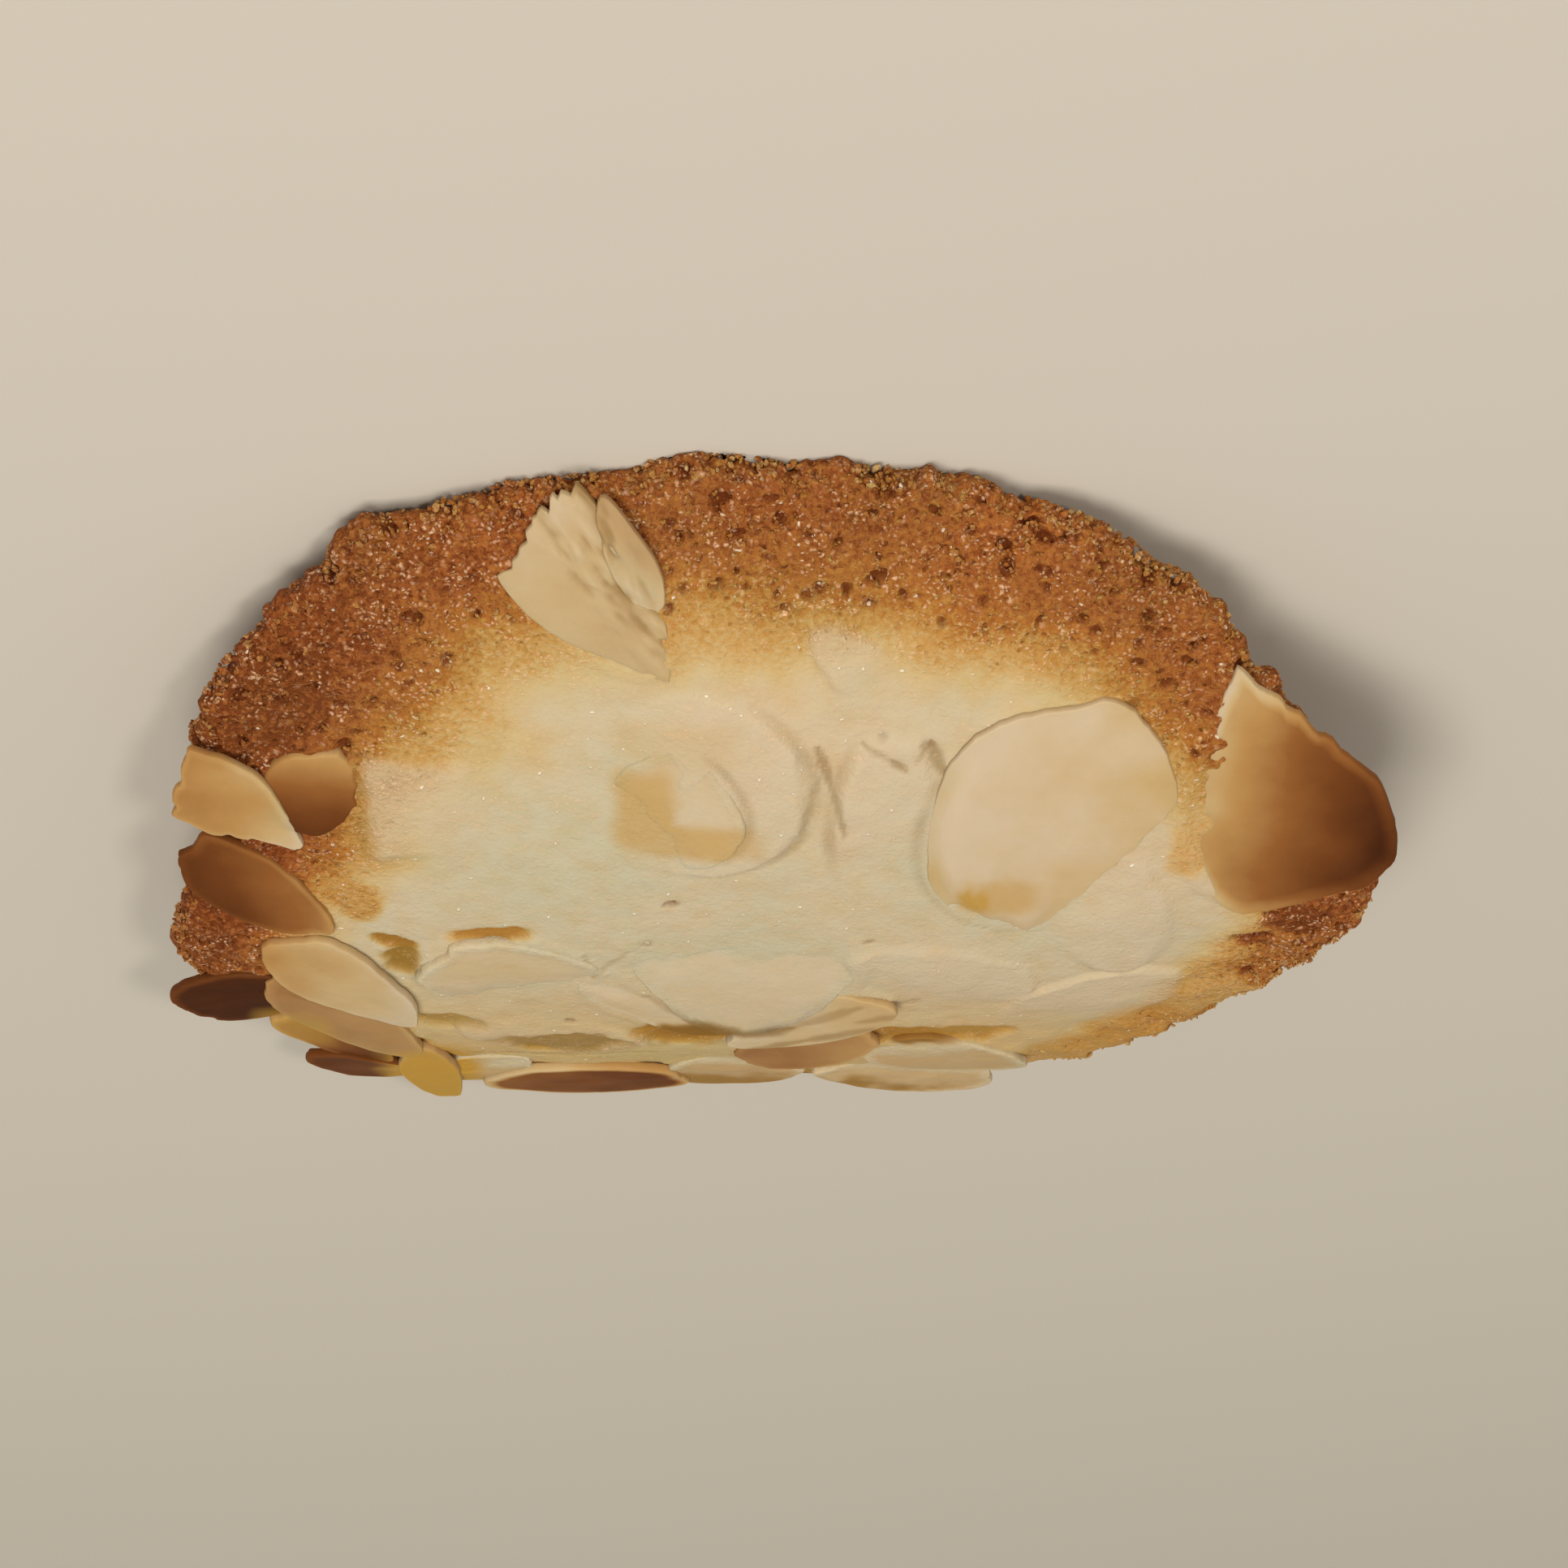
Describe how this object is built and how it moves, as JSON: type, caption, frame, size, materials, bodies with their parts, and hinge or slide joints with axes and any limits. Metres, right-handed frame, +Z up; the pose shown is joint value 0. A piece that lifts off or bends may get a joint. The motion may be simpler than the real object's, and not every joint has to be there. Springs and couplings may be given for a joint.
{
  "type": "almond tuile",
  "caption": "Thin round biscuit bent into a shallow arch, pale in the middle and browned at its craggy rim, with flaked almonds baked into its outer face.",
  "frame": {"origin": "middle of the bounding box, on the surface that the two end rims rest on", "axes": "+X along the axis of the bend, +Y along the bend towards the rim with the broadest browned band, +Z up out of the almond side"},
  "size_m": [0.088, 0.075, 0.0112],
  "materials": {
    "baked_dough": "baked sugar dough, cream in the middle, golden to reddish brown and porous towards the rim",
    "almond_flake": "sliced blanched almond, satin, some slices toasted brown"
  },
  "bodies": {
    "root": {"tuile": "baked_dough"}
  },
  "joints": []
}
